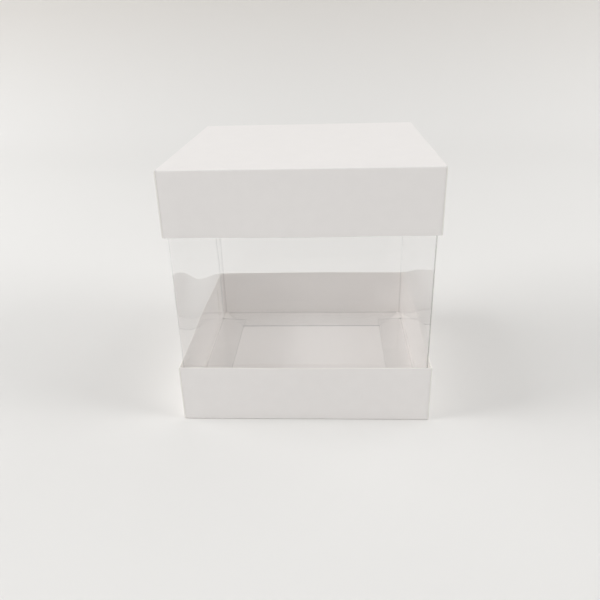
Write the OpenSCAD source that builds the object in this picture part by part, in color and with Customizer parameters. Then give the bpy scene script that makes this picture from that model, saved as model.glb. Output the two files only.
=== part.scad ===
// Favor box of three folded sheets: a white card tray, a clear film sleeve that stands
// in the tray, and a white card lid that drops over the sleeve and rests on its top flaps.
// Tray and lid are each one creased blank, glued at its four corners, and the sleeve is
// one sheet of film closed by a glue lap. Each panel between two creases is a solid.
// The origin is the middle of the tray's underside, +Z is up and -Y is the front.

/* [Tray] */
// Outside width of the tray, left to right
tray_w = 80; // [60:1:120]
// Outside depth of the tray, front to back
tray_d = 80; // [60:1:120]
// Height of the tray's walls
tray_h = 19.5; // [12:0.5:25]

/* [Lid] */
// Height of the lid's walls. In plan the lid is as large as the tray.
lid_h = 19.5; // [12:0.5:25]

/* [Card] */
// Thickness of the card
card_t = 0.4; // [0.3:0.05:0.6]
// Length of a corner glue tab
tab_l = 12; // [8:0.5:16]
// How far a tab's top and bottom edges come in from its crease to its free end
tab_taper = 2.5; // [0:0.25:4]
// Relief between a tab's crease and the corner of its wall, at top and bottom
tab_relief = 0.6; // [0.2:0.1:1]

/* [Sleeve] */
// Height of the folded sleeve
sleeve_h = 81.5; // [60:0.5:120]
// Gap between the sleeve and the tray's corner tabs, on each side
sleeve_gap = 0.3; // [0.1:0.05:0.6]
// Thickness of the film
film_t = 0.25; // [0.15:0.05:0.4]
// Inner radius of a fold in the film
film_fold_r = 0.25; // [0.1:0.05:0.6]
// Width of the glue lap that closes the sleeve
lap_w = 6; // [4:0.5:10]
// How far the lap's ends come in from its crease to its free edge
lap_taper = 3; // [0:0.5:6]

/* [Flaps] */
// Depth of the front and back flaps, from the outside of their panel
end_flap = 13; // [8:0.5:18]
// How far each end of a front or back flap comes in from its crease to its free edge
end_flap_bevel = 8; // [0:0.5:10]
// Depth of the side flaps, from the outside of their panel
side_flap = 10; // [6:0.5:14]
// How far the side flaps' creases stop short of the sleeve's front and back
side_flap_stop = 6.4; // [3:0.2:10]
// How far each end of a side flap comes in from its crease to its free edge
side_flap_bevel = 0.8; // [0:0.2:3]
// Corner notch between a front or back flap's crease and the sleeve's side
corner_notch = 1.6; // [1.2:0.1:3]

/* [Hidden] */
$fn = 48;
// The colours of the card and of the clear film
card_white = "#eceae7";
film_clear = [0.87, 0.89, 0.9, 0.3];
// The sleeve fits between the tray's corner tabs, and is as deep as it would be wide
sleeve_w = tray_w - 4 * card_t - 2 * sleeve_gap;
sleeve_d = tray_d - 4 * card_t - 2 * sleeve_gap;
// Outer radius of a fold in the film
bend_r = film_fold_r + film_t;
// Height of the lid's top face
lid_z = card_t + sleeve_h + card_t;
// The side flaps lie on the front and back flaps, so their panels end one film higher
side_z = film_t + bend_r;

// Cross-section of a card wall, z up the page and its outer face at x = 0.
// The foot is the rounded outside of the crease that joins it to the flat panel.
module wall_section(h) {
    translate([0, card_t]) square([card_t, h - card_t]);
    intersection() {
        translate([card_t, card_t]) circle(card_t);
        square(card_t);
    }
}

// Plan of a front or back card wall, between the side walls' inner faces.
// Each end is the rounded outside of the crease that joins it to a corner tab.
module end_wall_plan(w) {
    flat = w / 2 - 2 * card_t;
    translate([-flat, 0]) square([2 * flat, card_t]);
    for (side = [-1, 1])
        intersection() {
            translate([side * flat, card_t]) circle(card_t);
            translate([side > 0 ? flat : -flat - card_t, 0]) square(card_t);
        }
}

// The flat panel of a card blank, its outer face down
module flat_panel(w, d) {
    translate([card_t - w / 2, card_t - d / 2, 0])
        cube([w - 2 * card_t, d - 2 * card_t, card_t]);
}

// Card wall along the front, with a crease at its foot and one at each end
module end_wall(w, d, h) {
    translate([0, -d / 2, 0])
        intersection() {
            linear_extrude(h) end_wall_plan(w);
            translate([-w / 2, 0, 0])
                rotate([90, 0, 90]) linear_extrude(w) wall_section(h);
        }
}

// Card wall along the left, whose raw ends lie flush with the front and back
module side_wall(w, d, h) {
    translate([-w / 2, d / 2, 0])
        rotate([90, 0, 0]) linear_extrude(d) wall_section(h);
}

// Corner tab at the front left, turned back from the front wall and glued to the inside
// of the left wall, with its edges drawn in towards the free end
module corner_tab(w, d, h) {
    foot = card_t + tab_relief;
    top = h - tab_relief;
    translate([card_t - w / 2, card_t - d / 2, 0])
        rotate([90, 0, 90])
            linear_extrude(card_t)
                polygon([[0, foot], [tab_l, foot + tab_taper], [tab_l, top - tab_taper], [0, top]]);
}

// Quarter ring of folded film in the corner between +x and +y, its middle at the origin
module film_bend(l) {
    linear_extrude(l)
        intersection() {
            difference() {
                circle(bend_r);
                circle(film_fold_r);
            }
            square(bend_r);
        }
}

// Film panel along the front with a fold down each end.
// step_in moves the left fold inwards, to pass inside the panel that it is glued to.
module film_end_panel(step_in) {
    left = sleeve_w / 2 - bend_r - step_in;
    right = sleeve_w / 2 - bend_r;
    l = sleeve_h - 2 * bend_r;
    translate([0, 0, bend_r]) {
        translate([-left, -sleeve_d / 2, 0]) cube([left + right, film_t, l]);
        translate([right, bend_r - sleeve_d / 2, 0]) rotate(-90) film_bend(l);
        translate([-left, bend_r - sleeve_d / 2, 0]) rotate(180) film_bend(l);
    }
}

// Flap turned in from the foot of a front film panel, with its crease bend.
// panel_d is the sleeve's size across the crease, crease is the crease's half length,
// and the free edge is shorter by bevel at each end.
module film_flap(panel_d, crease, depth, bevel) {
    translate([-crease, bend_r - panel_d / 2, bend_r])
        rotate([0, 90, 0]) rotate(-90) film_bend(2 * crease);
    translate([0, -panel_d / 2, 0])
        linear_extrude(film_t)
            polygon([
                [-crease, bend_r], [crease, bend_r],
                [crease - bevel, depth], [bevel - crease, depth]
            ]);
}

// A front flap, on the surface that the sleeve stands on
module end_film_flap() {
    film_flap(sleeve_d, sleeve_w / 2 - corner_notch, end_flap, end_flap_bevel);
}

// A left flap, one film higher, over the ends of the front and back flaps
module side_film_flap() {
    translate([0, 0, film_t]) rotate(-90)
        film_flap(sleeve_w, sleeve_d / 2 - side_flap_stop, side_flap, side_flap_bevel);
}

// Places the sleeve's pieces on the tray's floor
module on_floor() {
    translate([0, 0, card_t]) children();
}

// Places the sleeve's top flaps, which are its bottom flaps turned over
module on_sleeve_top() {
    translate([0, 0, card_t + sleeve_h]) mirror([0, 0, 1]) children();
}

// Places the lid's pieces, built like the tray's and turned over
module on_lid() {
    translate([0, 0, lid_z]) mirror([0, 0, 1]) children();
}

module tray_floor() {
    color(card_white) flat_panel(tray_w, tray_d);
}

module tray_front_wall() {
    color(card_white) end_wall(tray_w, tray_d, tray_h);
}

module tray_back_wall() {
    color(card_white) mirror([0, 1, 0]) end_wall(tray_w, tray_d, tray_h);
}

module tray_left_wall() {
    color(card_white) side_wall(tray_w, tray_d, tray_h);
}

module tray_right_wall() {
    color(card_white) mirror([1, 0, 0]) side_wall(tray_w, tray_d, tray_h);
}

module tray_front_left_tab() {
    color(card_white) corner_tab(tray_w, tray_d, tray_h);
}

module tray_front_right_tab() {
    color(card_white) mirror([1, 0, 0]) corner_tab(tray_w, tray_d, tray_h);
}

module tray_back_left_tab() {
    color(card_white) mirror([0, 1, 0]) corner_tab(tray_w, tray_d, tray_h);
}

module tray_back_right_tab() {
    color(card_white) rotate(180) corner_tab(tray_w, tray_d, tray_h);
}

module sleeve_front_panel() {
    color(film_clear) on_floor() film_end_panel(0);
}

module sleeve_back_panel() {
    color(film_clear) on_floor() mirror([0, 1, 0]) film_end_panel(film_t);
}

// The left panel's raw back edge lies over the fold of the glue lap
module sleeve_left_panel() {
    color(film_clear) on_floor()
        translate([-sleeve_w / 2, bend_r - sleeve_d / 2, side_z])
            cube([film_t, sleeve_d - bend_r, sleeve_h - 2 * side_z]);
}

module sleeve_right_panel() {
    color(film_clear) on_floor()
        translate([sleeve_w / 2 - film_t, bend_r - sleeve_d / 2, side_z])
            cube([film_t, sleeve_d - 2 * bend_r, sleeve_h - 2 * side_z]);
}

// The strip past the back panel's left fold, glued to the inside of the left panel
module sleeve_glue_lap() {
    crease = sleeve_d / 2 - bend_r;
    foot = bend_r;
    top = sleeve_h - bend_r;
    color(film_clear) on_floor()
        translate([film_t - sleeve_w / 2, 0, 0])
            rotate([90, 0, 90])
                linear_extrude(film_t)
                    polygon([
                        [crease, foot], [crease, top],
                        [crease - lap_w, top - lap_taper], [crease - lap_w, foot + lap_taper]
                    ]);
}

module sleeve_bottom_front_flap() {
    color(film_clear) on_floor() end_film_flap();
}

module sleeve_bottom_back_flap() {
    color(film_clear) on_floor() mirror([0, 1, 0]) end_film_flap();
}

module sleeve_bottom_left_flap() {
    color(film_clear) on_floor() side_film_flap();
}

module sleeve_bottom_right_flap() {
    color(film_clear) on_floor() mirror([1, 0, 0]) side_film_flap();
}

module sleeve_top_front_flap() {
    color(film_clear) on_sleeve_top() end_film_flap();
}

module sleeve_top_back_flap() {
    color(film_clear) on_sleeve_top() mirror([0, 1, 0]) end_film_flap();
}

module sleeve_top_left_flap() {
    color(film_clear) on_sleeve_top() side_film_flap();
}

module sleeve_top_right_flap() {
    color(film_clear) on_sleeve_top() mirror([1, 0, 0]) side_film_flap();
}

module lid_top() {
    color(card_white) on_lid() flat_panel(tray_w, tray_d);
}

module lid_front_wall() {
    color(card_white) on_lid() end_wall(tray_w, tray_d, lid_h);
}

module lid_back_wall() {
    color(card_white) on_lid() mirror([0, 1, 0]) end_wall(tray_w, tray_d, lid_h);
}

module lid_left_wall() {
    color(card_white) on_lid() side_wall(tray_w, tray_d, lid_h);
}

module lid_right_wall() {
    color(card_white) on_lid() mirror([1, 0, 0]) side_wall(tray_w, tray_d, lid_h);
}

module lid_front_left_tab() {
    color(card_white) on_lid() corner_tab(tray_w, tray_d, lid_h);
}

module lid_front_right_tab() {
    color(card_white) on_lid() mirror([1, 0, 0]) corner_tab(tray_w, tray_d, lid_h);
}

module lid_back_left_tab() {
    color(card_white) on_lid() mirror([0, 1, 0]) corner_tab(tray_w, tray_d, lid_h);
}

module lid_back_right_tab() {
    color(card_white) on_lid() rotate(180) corner_tab(tray_w, tray_d, lid_h);
}

tray_floor();
tray_front_wall();
tray_back_wall();
tray_left_wall();
tray_right_wall();
tray_front_left_tab();
tray_front_right_tab();
tray_back_left_tab();
tray_back_right_tab();
sleeve_front_panel();
sleeve_back_panel();
sleeve_left_panel();
sleeve_right_panel();
sleeve_glue_lap();
sleeve_bottom_front_flap();
sleeve_bottom_back_flap();
sleeve_bottom_left_flap();
sleeve_bottom_right_flap();
sleeve_top_front_flap();
sleeve_top_back_flap();
sleeve_top_left_flap();
sleeve_top_right_flap();
lid_top();
lid_front_wall();
lid_back_wall();
lid_left_wall();
lid_right_wall();
lid_front_left_tab();
lid_front_right_tab();
lid_back_left_tab();
lid_back_right_tab();
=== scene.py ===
# Square favor box: a white card tray, a clear film sleeve that stands in it, and a white
# card lid. Each is one folded sheet, drawn here as the panels between its folds.
import bpy, math
from mathutils import Matrix, Vector


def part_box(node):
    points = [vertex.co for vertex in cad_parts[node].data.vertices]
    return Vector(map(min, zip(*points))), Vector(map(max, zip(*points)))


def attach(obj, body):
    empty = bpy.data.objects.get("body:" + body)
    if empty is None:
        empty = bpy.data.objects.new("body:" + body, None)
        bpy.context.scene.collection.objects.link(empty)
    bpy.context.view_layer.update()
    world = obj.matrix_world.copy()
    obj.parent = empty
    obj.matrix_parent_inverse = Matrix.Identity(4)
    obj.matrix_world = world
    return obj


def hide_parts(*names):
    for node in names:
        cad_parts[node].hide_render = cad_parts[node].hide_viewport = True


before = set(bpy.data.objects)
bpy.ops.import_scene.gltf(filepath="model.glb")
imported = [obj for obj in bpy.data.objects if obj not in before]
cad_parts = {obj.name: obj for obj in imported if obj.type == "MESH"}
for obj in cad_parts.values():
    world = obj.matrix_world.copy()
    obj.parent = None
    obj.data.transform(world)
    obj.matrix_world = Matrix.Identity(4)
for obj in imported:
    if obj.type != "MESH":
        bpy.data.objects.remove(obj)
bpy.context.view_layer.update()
MM = 0.001

# The view. A phone camera about 215 mm from the middle of the box, held by hand a little
# above it and turned slightly to its left, so that the box stands a degree or two off the
# level.
EYE = Vector((8.357, -201.191, 117.443)) * MM
TURN, TILT, ROLL = 0.0562, 0.4314, -0.0277  # radians, TILT is downwards
SENSOR = 36  # mm wide
FOCAL_PIXELS, PICTURE_PIXELS = 596.0, 600
NEAR = 0.01  # nothing closer is drawn
camera = bpy.data.objects.new("phone camera", bpy.data.cameras.new("phone camera"))
camera.data.sensor_width = SENSOR
camera.data.lens = SENSOR * FOCAL_PIXELS / PICTURE_PIXELS
camera.data.clip_start = NEAR
camera.matrix_world = (Matrix.Translation(EYE) @ Matrix.Rotation(TURN, 4, "Z")
                       @ Matrix.Rotation(math.pi / 2 - TILT, 4, "X")
                       @ Matrix.Rotation(ROLL, 4, "Z"))
bpy.context.scene.collection.objects.link(camera)
bpy.context.scene.camera = camera
bpy.context.scene.view_settings.view_transform = "Standard"
# A ray that enters the box and comes out again may pass twenty faces of clear film
bpy.context.scene.cycles.transparent_max_bounces = 64
# Light goes to and fro between the white walls, and in the folds of the film
bpy.context.scene.cycles.max_bounces = 32
bpy.context.scene.cycles.diffuse_bounces = 12
bpy.context.scene.cycles.glossy_bounces = 16


def paint(hex_colour, alpha=1.0):
    """An sRGB hex colour as the linear colour that the shaders take."""
    parts = [int(hex_colour[i:i + 2], 16) / 255 for i in (1, 3, 5)]
    linear = [c / 12.92 if c <= 0.04045 else ((c + 0.055) / 1.055) ** 2.4 for c in parts]
    return (*linear, alpha)


def add(tree, kind, links=(), **settings):
    """A node with its settings, and its sockets joined to other sockets or given values."""
    n = tree.nodes.new(kind)
    for key, value in settings.items():
        setattr(n, key, value)
    for socket, value in dict(links).items():
        if isinstance(value, bpy.types.Node):
            value = value.outputs[0]
        if isinstance(value, bpy.types.NodeSocket):
            tree.links.new(value, n.inputs[socket])
        else:
            n.inputs[socket].default_value = value
    return n


def new_material(name):
    """An empty material and its tree."""
    made = bpy.data.materials.new(name)
    made.use_nodes = True
    made.node_tree.nodes.clear()
    return made, made.node_tree


# The table and the wall behind it: one sweep of matt off-white paper, flat under the box
# and curved up behind it, a little greyer where it rises out of the light.
SWEEP_WIDTH, SWEEP_FRONT, SWEEP_BACK = 4.0, -1.2, 0.38
SWEEP_CURVE, SWEEP_TOP = 0.6, 1.6
CURVE_STEPS = 24
PAPER, PAPER_HIGH = paint("#e5e4e2"), paint("#d7d4d0")
GREYER_FROM, GREYER_TO = 0.01, 0.15  # height above the table
profile = [(SWEEP_FRONT, 0.0), (SWEEP_BACK, 0.0)]
profile += [(SWEEP_BACK + SWEEP_CURVE * math.sin(a), SWEEP_CURVE * (1 - math.cos(a)))
            for a in (math.pi / 2 * i / CURVE_STEPS for i in range(1, CURVE_STEPS + 1))]
profile.append((SWEEP_BACK + SWEEP_CURVE, SWEEP_TOP))
corners = [(x, y, z) for y, z in profile for x in (-SWEEP_WIDTH / 2, SWEEP_WIDTH / 2)]
faces = [(2 * i, 2 * i + 1, 2 * i + 3, 2 * i + 2) for i in range(len(profile) - 1)]
sweep_mesh = bpy.data.meshes.new("paper sweep")
sweep_mesh.from_pydata(corners, [], faces)
sweep_mesh.shade_smooth()
sweep = bpy.data.objects.new("paper_sweep", sweep_mesh)
bpy.context.scene.collection.objects.link(sweep)
paper, tree = new_material("matt off-white background paper")
spot = add(tree, "ShaderNodeTexCoord").outputs["Object"]
height = add(tree, "ShaderNodeSeparateXYZ", {0: spot}).outputs["Z"]
rise = add(tree, "ShaderNodeMapRange",
           {"Value": height, "From Min": GREYER_FROM, "From Max": GREYER_TO})
tone = add(tree, "ShaderNodeMix", {"Factor": rise, 6: PAPER, 7: PAPER_HIGH}, data_type="RGBA")
paper_shader = add(tree, "ShaderNodeBsdfPrincipled",
                   {"Base Color": tone.outputs[2], "Roughness": 0.9, "Specular IOR Level": 0.2})
add(tree, "ShaderNodeOutputMaterial", {"Surface": paper_shader})
sweep_mesh.materials.append(paper)

# Soft studio light: square soft lamps low down round the box, two larger ones higher up, and
# an even light from the room. The low lamps shine in through the film, and together they
# throw a faint shadow to each side of the box.
LAMP_AWAY, AIM_HEIGHT = 1.2, 0.03
# Name, degrees round from the right, degrees up, watts, metres across
LAMPS = [("left lamp", 190, 20, 8.6, 0.5), ("left back lamp", 170, 28, 3.1, 0.5),
         ("high left lamp", 200, 60, 1.3, 1.1), ("low right lamp", 350, 20, 3.4, 0.5),
         ("right lamp", 350, 32, 2.7, 0.5), ("right back lamp", 20, 35, 4.0, 1.1),
         ("front lamp", 270, 20, 1.3, 0.5)]
for name, round_about, up, watts, size in LAMPS:
    lamp = bpy.data.objects.new(name, bpy.data.lights.new(name, "AREA"))
    lamp.data.size = size
    lamp.data.energy = watts
    lamp.matrix_world = (Matrix.Translation((0, 0, AIM_HEIGHT))
                         @ Matrix.Rotation(math.radians(round_about), 4, "Z")
                         @ Matrix.Rotation(math.radians(90 - up), 4, "Y")
                         @ Matrix.Translation((0, 0, LAMP_AWAY)))
    lamp.visible_camera = False
    bpy.context.scene.collection.objects.link(lamp)
# The room itself lights the box evenly. Past the edge of the paper the camera sees it as
# pale as the paper is.
ROOM_LIGHT, ROOM_SEEN = 0.3, paint("#e5e4e1")
world = bpy.data.worlds.new("room")
bpy.context.scene.world = world
world.use_nodes = True
world.node_tree.nodes.clear()
tree = world.node_tree
lights = add(tree, "ShaderNodeBackground", {"Color": paint("#ffffff"), "Strength": ROOM_LIGHT})
shows = add(tree, "ShaderNodeBackground", {"Color": ROOM_SEEN, "Strength": 1.0})
eye_ray = add(tree, "ShaderNodeLightPath").outputs["Is Camera Ray"]
room = add(tree, "ShaderNodeMixShader", {0: eye_ray, 1: lights, 2: shows})
add(tree, "ShaderNodeOutputWorld", {"Surface": room})

# Folded sheet. Every panel of the box is a strip of sheet, straight or with a quarter
# turn at a fold, with a plain rectangular section. This tree sweeps that section along
# the strip, draws its ends in where it is a tab or flap, and bows it as glued card bows.
FOLD_POINTS, EDGE_POINTS = 7, 6
WELD = 0.002 * MM
BOW_POWER = 1.6  # most of a rim's bow is near its free edge
SHARP = math.radians(6)
# How far a face's normal has to lean up or down on a cut edge, and to both sides in a fold
CUT_LEAN, FOLD_LEAN = 0.6, 0.08
strip = bpy.data.node_groups.new("folded sheet strip", "GeometryNodeTree")
STRIP_SIZES = {
    "start": ("Vector", (0.0, 0.0, 0.0)), "corner a": ("Vector", (0.0, 0.0, 0.0)),
    "corner b": ("Vector", (0.0, 0.0, 0.0)), "end": ("Vector", (0.0, 0.0, 0.0)),
    "fold a radius": ("Float", 0.0), "fold b radius": ("Float", 0.0),
    "width": ("Float", 0.02), "thickness": ("Float", 0.0004),
    "foot round": ("Float", 0.0), "cut round": ("Float", 0.0),
    "cuts along": ("Int", 24), "cuts across": ("Int", 8),
    "taper": ("Float", 0.0), "taper from": ("Float", 0.0), "taper to": ("Float", 1.0),
    "edge bow": ("Float", 0.0), "bow reach": ("Float", 0.03),
    "bulge": ("Float", 0.0), "bulge from": ("Float", 0.0), "bulge to": ("Float", 1.0),
    "foot is cut": ("Bool", False), "middle reach": ("Float", 0.0),
    "sheet": ("Material", None), "first fold": ("Material", None),
    "last fold": ("Material", None), "cut edge": ("Material", None),
    "cut near middle": ("Material", None), "first end": ("Material", None),
    "last end": ("Material", None),
}
strip.interface.new_socket("Geometry", in_out="INPUT", socket_type="NodeSocketGeometry")
strip.interface.new_socket("Geometry", in_out="OUTPUT", socket_type="NodeSocketGeometry")
for name, (kind, value) in STRIP_SIZES.items():
    socket = strip.interface.new_socket(name, in_out="INPUT", socket_type="NodeSocket" + kind)
    if value is not None:
        socket.default_value = value
given = strip.nodes.new("NodeGroupInput").outputs


def calc(operation, a, b=0.0, c=0.0):
    """A Math node of the strip's tree."""
    return add(strip, "ShaderNodeMath", {0: a, 1: b, 2: c}, operation=operation).outputs[0]


def compare(operation, a, b):
    """A whole-number comparison of the strip's tree."""
    test = add(strip, "FunctionNodeCompare", {2: a, 3: b}, operation=operation, data_type="INT")
    return test.outputs[0]


def either(a, b, operation="OR"):
    """Joins two tests of the strip's tree."""
    return add(strip, "FunctionNodeBooleanMath", {0: a, 1: b}, operation=operation).outputs[0]


index = add(strip, "GeometryNodeInputIndex").outputs[0]
# The line that the strip follows, cut fine between its corners and rounded at its folds
along = given["cuts along"]
after_along = calc("ADD", along, 2)
path = add(strip, "GeometryNodeCurvePrimitiveQuadrilateral",
           {"Point 1": given["start"], "Point 2": given["corner a"],
            "Point 3": given["corner b"], "Point 4": given["end"]}, mode="POINTS")
path = add(strip, "GeometryNodeSetSplineCyclic", {"Geometry": path, "Cyclic": False})
path = add(strip, "GeometryNodeSubdivideCurve",
           {"Curve": path, "Cuts": calc("MULTIPLY", compare("EQUAL", index, 1), along)})
radius = calc("ADD", calc("MULTIPLY", compare("EQUAL", index, 1), given["fold a radius"]),
              calc("MULTIPLY", compare("EQUAL", index, after_along), given["fold b radius"]))
path = add(strip, "GeometryNodeFilletCurve",
           {"Curve": path, "Radius": radius, "Count": FOLD_POINTS}, mode="POLY")
path = add(strip, "GeometryNodeSetCurveNormal", {"Curve": path}, mode="Z_UP")
# The section: its foot at zero and its free edge at the width, with rounded corners
half = calc("MULTIPLY", given["thickness"], 0.5)
other = calc("MULTIPLY", half, -1.0)
across = given["cuts across"]
long_side = either(compare("EQUAL", index, 1), compare("EQUAL", index, 3))
far = calc("MULTIPLY", given["width"], -1.0)
corners = [add(strip, "ShaderNodeCombineXYZ", {"X": x, "Y": y}).outputs[0]
           for x, y in ((half, 0.0), (other, 0.0), (other, far), (half, far))]
section = add(strip, "GeometryNodeCurvePrimitiveQuadrilateral",
              {f"Point {i + 1}": corners[i] for i in range(4)}, mode="POINTS")
section = add(strip, "GeometryNodeSubdivideCurve",
              {"Curve": section, "Cuts": calc("MULTIPLY", long_side, across)})
is_foot = compare("EQUAL", index, 0)
is_cut = either(compare("EQUAL", index, calc("ADD", across, 2)),
                compare("EQUAL", index, calc("ADD", across, 3)))
is_cut = either(is_cut, either(compare("EQUAL", index, 1), given["foot is cut"], "AND"))
radius = calc("ADD", calc("MULTIPLY", is_foot, given["foot round"]),
              calc("MULTIPLY", is_cut, given["cut round"]))
section = add(strip, "GeometryNodeFilletCurve",
              {"Curve": section, "Radius": radius, "Count": EDGE_POINTS}, mode="POLY")
swept = add(strip, "GeometryNodeCurveToMesh",
            {"Curve": path, "Profile Curve": section, "Fill Caps": True})
swept = add(strip, "GeometryNodeMergeByDistance", {"Geometry": swept, "Distance": WELD})
# The ends are drawn in, the free edge is bowed, and a panel that is held all round bulges
place = add(strip, "GeometryNodeInputPosition").outputs[0]
axes = add(strip, "ShaderNodeSeparateXYZ", {0: place}).outputs
share = add(strip, "ShaderNodeMapRange", {"Value": axes["X"], "From Min": given["taper from"],
                                          "From Max": given["taper to"]}).outputs[0]
height = calc("DIVIDE", axes["Z"], given["width"])
narrower = calc("MULTIPLY", calc("MULTIPLY", share, given["taper"]),
                calc("MULTIPLY_ADD", height, -2.0, 1.0))
wave = calc("DIVIDE", axes["X"], given["bow reach"])
wave = calc("MAXIMUM", calc("MINIMUM", wave, 1.0), -1.0)
swell = calc("MULTIPLY_ADD", calc("COSINE", calc("MULTIPLY", wave, math.pi)), 0.5, 0.5)
growth = calc("POWER", calc("ABSOLUTE", height), BOW_POWER)
edge_bow = calc("MULTIPLY", calc("MULTIPLY", growth, swell), given["edge bow"])
rise = add(strip, "ShaderNodeMapRange", {"Value": axes["Z"], "From Min": given["bulge from"],
                                         "From Max": given["bulge to"], "To Max": 2 * math.pi})
hump = calc("MULTIPLY", calc("MULTIPLY_ADD", calc("COSINE", rise), -0.5, 0.5),
            calc("COSINE", calc("MULTIPLY", wave, math.pi / 2)))
bowed = calc("MULTIPLY", calc("MULTIPLY_ADD", hump, given["bulge"], edge_bow), -1.0)
shift = add(strip, "ShaderNodeCombineXYZ", {"Y": bowed, "Z": narrower})
shaped = add(strip, "GeometryNodeSetPosition", {"Geometry": swept, "Offset": shift})
# Its faces, folds and cut edges each have their own finish, and so have the part of the cut
# edges near the strip's own zero, and its ends, which may run on into the next panel
normal = add(strip, "ShaderNodeSeparateXYZ", {0: add(strip, "GeometryNodeInputNormal")}).outputs
upper = calc("GREATER_THAN", height, 0.5)
top_cut = either(calc("GREATER_THAN", normal["Z"], CUT_LEAN), upper, "AND")
foot_cut = either(calc("LESS_THAN", normal["Z"], -CUT_LEAN), given["foot is cut"], "AND")
# The strip is all quads, and only the faces that close its two ends have more neighbours
cap = compare("GREATER_THAN", add(strip, "GeometryNodeInputMeshFaceNeighbors").outputs[0], 4)
lean = calc("ABSOLUTE", calc("MULTIPLY", normal["X"], normal["Y"]))
turning = calc("GREATER_THAN", lean, FOLD_LEAN)
is_side = either(top_cut, foot_cut)
near_middle = calc("LESS_THAN", calc("ABSOLUTE", axes["X"]), given["middle reach"])
start_x = add(strip, "ShaderNodeSeparateXYZ", {0: given["start"]}).outputs["X"]
end_x = add(strip, "ShaderNodeSeparateXYZ", {0: given["end"]}).outputs["X"]
far_half = calc("GREATER_THAN", axes["X"], calc("MULTIPLY", calc("ADD", start_x, end_x), 0.5))
done = add(strip, "GeometryNodeRealizeInstances", {"Geometry": shaped})
for chosen, finish in ((True, "sheet"), (turning, "first fold"),
                       (either(turning, far_half, "AND"), "last fold"), (is_side, "cut edge"),
                       (either(is_side, near_middle, "AND"), "cut near middle"),
                       (cap, "first end"), (either(cap, far_half, "AND"), "last end")):
    done = add(strip, "GeometryNodeSetMaterial",
               {"Geometry": done, "Selection": chosen, "Material": given[finish]})
add(strip, "NodeGroupOutput", {"Geometry": done})
SOCKET = {s.name: s.identifier for s in strip.interface.items_tree if s.in_out == "INPUT"}


def folded_piece(name, node, body, slot, origin, along, side, **sizes):
    """One panel. along is the way its strip runs, side points from its outer face into the
    box, and origin is where the strip's own zero lies: on its outer face, at its foot."""
    holder = bpy.data.objects.new(name, bpy.data.meshes.new(name))
    bpy.context.scene.collection.objects.link(holder)
    maker = holder.modifiers.new("strip", "NODES")
    maker.node_group = strip
    for key, value in sizes.items():
        maker[SOCKET[key.replace("_", " ")]] = value
    bpy.context.view_layer.update()
    evaluated = holder.evaluated_get(bpy.context.evaluated_depsgraph_get())
    mesh = bpy.data.meshes.new_from_object(evaluated)
    holder.modifiers.remove(maker)
    along, side = Vector(along), Vector(side)
    turn = Matrix((along, side, along.cross(side))).transposed().to_4x4()
    mesh.transform(Matrix.Translation(origin) @ turn)
    mesh.shade_smooth()
    mesh.set_sharp_from_angle(angle=SHARP)
    mesh.name = name
    holder.data = mesh
    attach(holder, body)
    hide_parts(node)


# Tray floor. The flat middle of the tray's blank: folding boxboard of about 350 g/m2,
# clay-coated white on both faces, die-cut and creased. Its edges run on into the walls.
CARD = 0.4 * MM
CARD_LIGHT, CARD_DARK = paint("#f1eeec"), paint("#edeae8")
PULP_CLOUD = 4.0 * MM
TOOTH, TOOTH_DEEP = 0.35 * MM, 0.02 * MM  # really about 0.1 mm across, drawn coarser to show
coated, tree = new_material("clay-coated white boxboard, matt calendered")
spot = add(tree, "ShaderNodeTexCoord").outputs["Object"]
cloud = add(tree, "ShaderNodeTexNoise", {"Vector": spot, "Scale": 1 / PULP_CLOUD, "Detail": 3.0})
tone = add(tree, "ShaderNodeMix", {"Factor": cloud, 6: CARD_DARK, 7: CARD_LIGHT},
           data_type="RGBA")
tooth = add(tree, "ShaderNodeTexNoise", {"Vector": spot, "Scale": 1 / TOOTH, "Detail": 2.0})
grain = add(tree, "ShaderNodeBump", {"Height": tooth, "Strength": 0.12, "Distance": TOOTH_DEEP})
matt = add(tree, "ShaderNodeMapRange", {"Value": cloud, "To Min": 0.5, "To Max": 0.62})
board = add(tree, "ShaderNodeBsdfPrincipled",
            {"Base Color": tone.outputs[2], "Roughness": matt, "Normal": grain, "IOR": 1.45,
             "Specular IOR Level": 0.35})
add(tree, "ShaderNodeOutputMaterial", {"Surface": board})
# The die's cut bares the uncoated pulp in the middle of the board, in layers. Its colour is also
# paler than the coated face: a painted highlight for the light that the rims catch from above
EDGE_LIGHT, EDGE_DARK = paint("#f7f5f1"), paint("#eeebe5")
FIBRE, FIBRE_DEEP = 0.25 * MM, 0.03 * MM
raw, tree = new_material("raw cut edge of boxboard, painted paler as highlight")
spot = add(tree, "ShaderNodeTexCoord").outputs["Object"]
fibre = add(tree, "ShaderNodeTexNoise", {"Vector": spot, "Scale": 1 / FIBRE, "Detail": 3.0})
tone = add(tree, "ShaderNodeMix", {"Factor": fibre, 6: EDGE_DARK, 7: EDGE_LIGHT},
           data_type="RGBA")
grain = add(tree, "ShaderNodeBump", {"Height": fibre, "Strength": 0.4, "Distance": FIBRE_DEEP})
edge = add(tree, "ShaderNodeBsdfPrincipled",
           {"Base Color": tone.outputs[2], "Roughness": 0.85, "Normal": grain,
            "Specular IOR Level": 0.2})
add(tree, "ShaderNodeOutputMaterial", {"Surface": edge})
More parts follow.
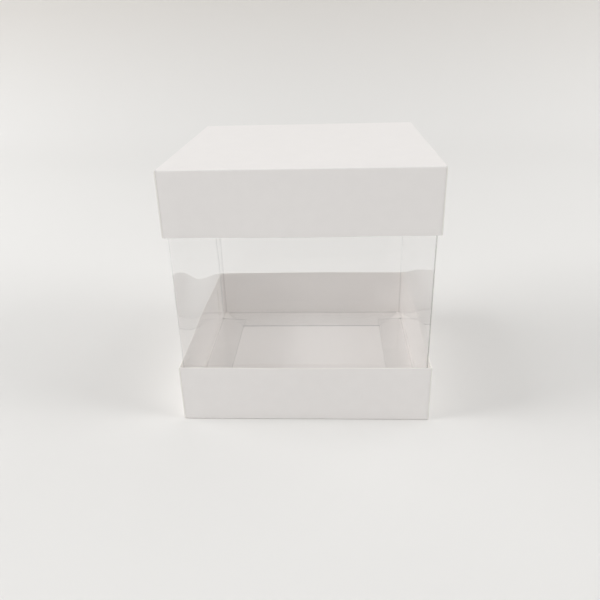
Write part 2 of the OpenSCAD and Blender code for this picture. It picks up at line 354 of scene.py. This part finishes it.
# On the outside of a crease the coating is stretched over the bend and cracks a little
CRACK, CRACK_DEEP = 0.5 * MM, 0.03 * MM
creased, tree = new_material("stretched coating on a crease")
spot = add(tree, "ShaderNodeTexCoord").outputs["Object"]
crack = add(tree, "ShaderNodeTexNoise", {"Vector": spot, "Scale": 1 / CRACK, "Detail": 4.0})
tone = add(tree, "ShaderNodeMix", {"Factor": crack, 6: CARD_DARK, 7: CARD_LIGHT},
           data_type="RGBA")
grain = add(tree, "ShaderNodeBump", {"Height": crack, "Strength": 0.3, "Distance": CRACK_DEEP})
bend = add(tree, "ShaderNodeBsdfPrincipled",
           {"Base Color": tone.outputs[2], "Roughness": 0.65, "Normal": grain,
            "Specular IOR Level": 0.3})
add(tree, "ShaderNodeOutputMaterial", {"Surface": bend})
CARD_FINISH = {"sheet": coated, "first_fold": creased, "last_fold": creased, "cut_edge": raw,
               "cut_near_middle": raw, "first_end": raw, "last_end": raw}


def card_panel(node, body, up):
    """The flat middle of a blank. up is 1 where its outer face is the upper one, else -1."""
    low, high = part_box(node)
    outer = high.z if up > 0 else low.z
    folded_piece(f"{node}_card", node, body, "white_card",
                 (0, up * low.y, outer), (1, 0, 0), (0, 0, -up),
                 start=(low.x, CARD / 2, 0), corner_a=(low.x, CARD / 2, 0),
                 corner_b=(high.x, CARD / 2, 0), end=(high.x, CARD / 2, 0),
                 width=high.y - low.y, thickness=CARD, cuts_along=16, cuts_across=16,
                 **CARD_FINISH)


card_panel("tray_floor", "tray", -1)

# Tray walls. Turned up on the creases round the floor. The front and back walls have a
# sharp crease at each end, where they turn into the corner tabs, and the side walls end in
# a raw cut beside it. The rims are cut edges, bowed out a little between the tabs.
TURN_IN = 0.25 * MM  # how far a wall's crease reaches along the side wall
CUT_BACK = 0.06 * MM  # how far behind the wall's face the raw cut stops
RIM_ROUND = 0.14 * MM  # the die crushes the edge round
BOW, TAB = 0.45 * MM, 12 * MM  # a rim is straight along the tabs and bowed between them
TAB_MIDDLE = 1.5 * CARD  # the tab's card lies inside the side wall's


def card_walls(box, body, foot_up):
    """The four walls of the tray, or of the lid with foot_up -1."""
    low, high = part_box(f"{box}_left_wall")
    half, deep, height = -low.x, high.y, high.z - low.z
    foot = low.z if foot_up > 0 else high.z
    flat = half - TAB_MIDDLE
    ends = {"start": (-flat, CARD / 2 + TURN_IN, 0), "corner_a": (-flat, CARD / 2, 0),
            "corner_b": (flat, CARD / 2, 0), "end": (flat, CARD / 2 + TURN_IN, 0)}
    cut = deep - CUT_BACK
    sides = {"start": (-cut, CARD / 2, 0), "corner_a": (-cut, CARD / 2, 0),
             "corner_b": (cut, CARD / 2, 0), "end": (cut, CARD / 2, 0)}
    for place, origin, side, path in (("front", (0, -deep, foot), (0, 1, 0), ends),
                                      ("back", (0, deep, foot), (0, -1, 0), ends),
                                      ("left", (-half, 0, foot), (1, 0, 0), sides),
                                      ("right", (half, 0, foot), (-1, 0, 0), sides)):
        along = Vector(side).cross(Vector((0, 0, foot_up)))
        node = f"{box}_{place}_wall"
        folded_piece(f"{node}_card", node, body, "white_card", origin, along, side,
                     width=height, thickness=CARD, foot_round=CARD, cut_round=RIM_ROUND,
                     edge_bow=BOW, bow_reach=half - TAB, **path, **CARD_FINISH)


card_walls("tray", "tray", 1)

# Tray tabs. The ends of the front and back walls, turned back at the corners and glued flat
# to the inside of the side walls, with their edges drawn in so that the glue doesn't show.
TAB_DRAW_IN = 2.5 * MM


def card_tabs(box, body):
    """The four corner tabs of the tray or the lid."""
    for end, along in (("front", 1), ("back", -1)):
        for flank in ("left", "right"):
            node = f"{box}_{end}_{flank}_tab"
            low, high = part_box(node)
            start = (low.y if along > 0 else high.y) + along * (TURN_IN - CARD / 2)
            length = high.y - low.y - TURN_IN + CARD / 2
            face = high.x if along > 0 else low.x
            folded_piece(f"{node}_card", node, body, "white_card",
                         (face, start, low.z), (0, along, 0), (-along, 0, 0),
                         start=(0, CARD / 2, 0), corner_a=(0, CARD / 2, 0),
                         corner_b=(length, CARD / 2, 0), end=(length, CARD / 2, 0),
                         width=high.z - low.z, thickness=CARD, cut_round=RIM_ROUND,
                         foot_is_cut=True, taper=TAB_DRAW_IN, taper_to=length, cuts_along=4,
                         **CARD_FINISH)


card_tabs("tray", "tray")

# Sleeve foot flaps. Clear rigid film of 0.25 mm, folded in under the sleeve: the front and
# back flaps lie on the tray's floor and the side flaps on their ends. Drawn 0.04 mm thinner
# than the film is, so that light meets air between two sheets as it does in the real one.
FILM, AIR = 0.21 * MM, 0.02 * MM
BEND = 0.5 * MM  # outside of a fold
FOLD = BEND - FILM / 2  # middle of the film
FILM_IOR = 1.5
RIPPLE = 14 * MM  # the sheet's faint waves


def film_material(name, passed, mark, rough, haze, ripple_height=0.0, gleaming=1.0):
    """Clear film: it lets light straight through, tinted by passed at each face, and mirrors
    the share that Fresnel's law gives, or the part gleaming of it where the face is uneven.
    mark is the size of its scuffs, and haze the share of it that looks milky."""
    made, tree = new_material(name)
    spot = add(tree, "ShaderNodeTexCoord").outputs["Object"]
    worn = add(tree, "ShaderNodeTexNoise", {"Vector": spot, "Scale": 1 / mark, "Detail": 4.0})
    gloss = add(tree, "ShaderNodeMapRange", {"Value": worn, "From Min": 0.35, "From Max": 0.75,
                                             "To Min": rough[0], "To Max": rough[1]})
    wave = add(tree, "ShaderNodeTexNoise", {"Vector": spot, "Scale": 1 / RIPPLE, "Detail": 1.0})
    ripple = add(tree, "ShaderNodeBump",
                 {"Height": wave, "Strength": 1.0, "Distance": ripple_height})
    # A ray leaves the sheet at the angle at which it came in, so both faces mirror alike
    side = add(tree, "ShaderNodeNewGeometry").outputs["Backfacing"]
    both_ways = add(tree, "ShaderNodeMapRange",
                    {"Value": side, "To Min": FILM_IOR, "To Max": 1 / FILM_IOR})
    mirrored = add(tree, "ShaderNodeFresnel", {"IOR": both_ways, "Normal": ripple})
    mirrored = add(tree, "ShaderNodeMath", {0: mirrored, 1: gleaming}, operation="MULTIPLY")
    clear = add(tree, "ShaderNodeBsdfTransparent", {"Color": passed})
    milk = add(tree, "ShaderNodeBsdfPrincipled",
               {"Base Color": paint("#f6f6f5"), "Roughness": 0.5})
    milky = add(tree, "ShaderNodeMapRange",
                {"Value": worn, "To Min": 0.6 * haze, "To Max": 1.4 * haze})
    through = add(tree, "ShaderNodeMixShader", {0: milky, 1: clear, 2: milk})
    gleam = add(tree, "ShaderNodeBsdfPrincipled",
                {"Base Color": paint("#ffffff"), "Metallic": 1.0, "Roughness": gloss,
                 "Normal": ripple})
    whole = add(tree, "ShaderNodeMixShader", {0: mirrored, 1: through, 2: gleam})
    add(tree, "ShaderNodeOutputMaterial", {"Surface": whole})
    return made


# Calendered gloss film with the faint scuffs of handling, nearly colourless
film = film_material("clear rigid film, calendered gloss", paint("#fefefe"), mark=2.5 * MM,
                     rough=(0.01, 0.05), haze=0.004, ripple_height=0.02 * MM)
# A crease is stretched past its limit, which leaves a faintly milky line
soft = film_material("soft crease in clear film", paint("#fcfcfc"), mark=0.6 * MM,
                     rough=(0.1, 0.3), haze=0.06, gleaming=0.12)
# The sleeve is delivered flat, pressed on two opposite creases. The front one is tinted dark, as
# painted shade for the light that its sharp bend turns away
pressed = film_material("crease pressed flat in clear film", paint("#e6e6e5"), mark=0.6 * MM,
                        rough=(0.1, 0.3), haze=0.08, gleaming=0.3)
# A die-cut edge of film is finely torn. Where it lies free it is tinted grey, as painted shade
# for the gap under it, and shows as a thin grey line. An edge that lies against another sheet is
# tinted much less and lets more light through
torn = film_material("die-cut free edge of clear film", paint("#bec0c0"), mark=0.3 * MM,
                     rough=(0.2, 0.5), haze=0.1, gleaming=0.3)
covered = film_material("die-cut edge of clear film against a sheet", paint("#eeefef"),
                        mark=0.3 * MM, rough=(0.2, 0.5), haze=0.06, gleaming=0.3)
# Where one panel's solid ends and the next one's begins the real sheet simply runs on, so
# nothing shows there
unbroken, tree = new_material("unbroken inside of the film")
clear = add(tree, "ShaderNodeBsdfTransparent", {"Color": paint("#ffffff")})
add(tree, "ShaderNodeOutputMaterial", {"Surface": clear})
FILM_FINISH = {"sheet": film, "first_fold": soft, "last_fold": soft, "cut_edge": covered,
               "cut_near_middle": unbroken, "first_end": unbroken, "last_end": unbroken}
# The side flaps' creases end in a notch, where the bend tears a little. There the film is tinted
# near black, as painted shade for the gap under the flap's corner
notch_shade = film_material("painted shade at the end of a crease in clear film", paint("#4c4c4c"), mark=0.3 * MM,
                      rough=(0.3, 0.6), haze=0.1, gleaming=0.3)
NOTCH_SHADE_REACH = 0.9 * MM
END_BEVEL, SIDE_BEVEL = 8 * MM, 0.8 * MM  # how far a flap's sides are drawn in


def film_flaps(level, rise):
    """The four flaps at the sleeve's foot, or at its top with rise -1."""
    for place, along, bevel in (("front", (0, 1, 0), END_BEVEL),
                                ("back", (0, -1, 0), END_BEVEL),
                                ("left", (1, 0, 0), SIDE_BEVEL),
                                ("right", (-1, 0, 0), SIDE_BEVEL)):
        node = f"sleeve_{level}_{place}_flap"
        low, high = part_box(node)
        along, side = Vector(along), Vector((0, 0, rise))
        width = along.cross(side)
        start = Vector([low[i] if along[i] + width[i] > 0 else high[i] for i in (0, 1)]
                       + [low.z + AIR if rise > 0 else high.z - AIR])
        span = abs((high - low).dot(width))
        depth = abs((high - low).dot(along))
        # A flap's free end is tinted grey, as painted shade for the gap under it
        finish = {**FILM_FINISH, "last_end": torn}
        # Near their creases the side flaps' cut edges get the near-black tint: painted shade for
        # the gap under the flap's corner
        if bevel == SIDE_BEVEL:
            finish |= {"cut_near_middle": notch_shade, "middle_reach": NOTCH_SHADE_REACH}
        folded_piece(f"{node}_film", node, "sleeve", "clear_film", start, along, side,
                     start=(FILM / 2, BEND, 0), corner_a=(FILM / 2, FILM / 2, 0),
                     corner_b=(depth, FILM / 2, 0), end=(depth, FILM / 2, 0),
                     fold_a_radius=FOLD, width=span, thickness=FILM, foot_is_cut=True,
                     taper=bevel, taper_from=BEND, taper_to=depth, cuts_along=12,
                     cuts_across=16, **finish)


film_flaps("bottom", 1)

# Sleeve panels. The front and back panels have a fold down each side, and the side panels
# join them there. The left panel's back edge is a raw cut that lies over the glue lap's fold.
RIM, LID_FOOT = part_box("tray_left_wall")[1].z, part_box("lid_left_wall")[0].z
FILM_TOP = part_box("sleeve_right_panel")[1].z
# Above the tray's rim the film isn't quite flat. Up to the lid the left panel bulges out, and
# the front and back ones a little. The right panel is pressed in, up to its fold at the top.
BULGES = {"front": (0.3 * MM, LID_FOOT), "back": (0.3 * MM, LID_FOOT),
          "left": (1.8 * MM, LID_FOOT), "right": (-1.5 * MM, FILM_TOP)}
for place, along, side in (("front", (1, 0, 0), (0, 1, 0)), ("back", (-1, 0, 0), (0, -1, 0)),
                           ("left", (0, -1, 0), (1, 0, 0)), ("right", (0, 1, 0), (-1, 0, 0))):
    node = f"sleeve_{place}_panel"
    low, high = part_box(node)
    along, side = Vector(along), Vector(side)
    first, last = sorted((low.dot(along), high.dot(along)))
    outer = min(low.dot(side), high.dot(side))
    sizes = {"start": (first + AIR, FILM / 2, 0), "corner_a": (first + AIR, FILM / 2, 0),
             "corner_b": (last - AIR, FILM / 2, 0), "end": (last - AIR, FILM / 2, 0)}
    # The film's ends aren't cut along the creases of its flaps, where it runs on into them
    crease_low, crease_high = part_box(f"sleeve_bottom_{place}_flap")
    sizes["middle_reach"] = (crease_high - crease_low).dot(Vector(map(abs, along))) / 2
    bulge, bulge_end = BULGES[place]
    sizes |= {"bulge": bulge, "bulge_from": RIM - low.z, "bulge_to": bulge_end - low.z,
              "bow_reach": (last - first) / 2}
    if place == "left":
        sizes["first_end"] = covered
    if place in ("front", "back"):
        first, last = first + FILM / 2, last - FILM / 2
        sizes |= {"start": (first, BEND, 0), "corner_a": (first, FILM / 2, 0),
                  "corner_b": (last, FILM / 2, 0), "end": (last, BEND, 0),
                  "fold_a_radius": FOLD, "fold_b_radius": FOLD}
    # The front panel's right fold is the pressed crease, tinted dark as painted shade
    if place == "front":
        sizes["last_fold"] = pressed
    folded_piece(f"{node}_film", node, "sleeve", "clear_film",
                 outer * side + Vector((0, 0, low.z + AIR)), along, side,
                 width=high.z - low.z - 2 * AIR, thickness=FILM, foot_is_cut=True,
                 cuts_along=32, cuts_across=48, **{**FILM_FINISH, **sizes})

# Glue lap. The strip past the back panel's left fold, with its ends cut back, stuck to the
# inside of the left panel by a line of clear glue.
LAP_DRAW_IN = 3 * MM
LAP_BOW_REACH = 38.9 * MM  # half the sleeve's width
low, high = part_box("sleeve_glue_lap")
folded_piece("sleeve_glue_lap_film", "sleeve_glue_lap", "sleeve", "clear_film",
             (low.x + AIR, 0, low.z + AIR), (0, -1, 0), (1, 0, 0),
             start=(-high.y + AIR, FILM / 2, 0), corner_a=(-high.y + AIR, FILM / 2, 0),
             corner_b=(-low.y, FILM / 2, 0), end=(-low.y, FILM / 2, 0),
             width=high.z - low.z - 2 * AIR, thickness=FILM, foot_is_cut=True, taper=LAP_DRAW_IN,
             taper_from=-high.y, taper_to=-low.y, bulge=BULGES["left"][0], bulge_from=RIM - low.z,
             bulge_to=LID_FOOT - low.z, bow_reach=LAP_BOW_REACH, cuts_along=8, cuts_across=48,
             **{**FILM_FINISH, "last_end": covered})

# Sleeve top flaps. The same flaps at the other end of the sheet, folded in under the lid.
# They keep the sleeve square, and the lid rests on them.
film_flaps("top", -1)

# Lid top. The lid is cut and folded like the tray, and turned over. This is its flat middle,
# which lies on the sleeve's top flaps.
card_panel("lid_top", "lid", 1)

# Lid walls. Turned down on the creases round the top, like the tray's walls, with the same
# sharp creases and raw cuts at their corners. Their rims hang free round the sleeve.
card_walls("lid", "lid", -1)

# Lid tabs. The ends of the lid's front and back walls, turned back at the corners and glued
# inside its side walls like the tray's.
card_tabs("lid", "lid")
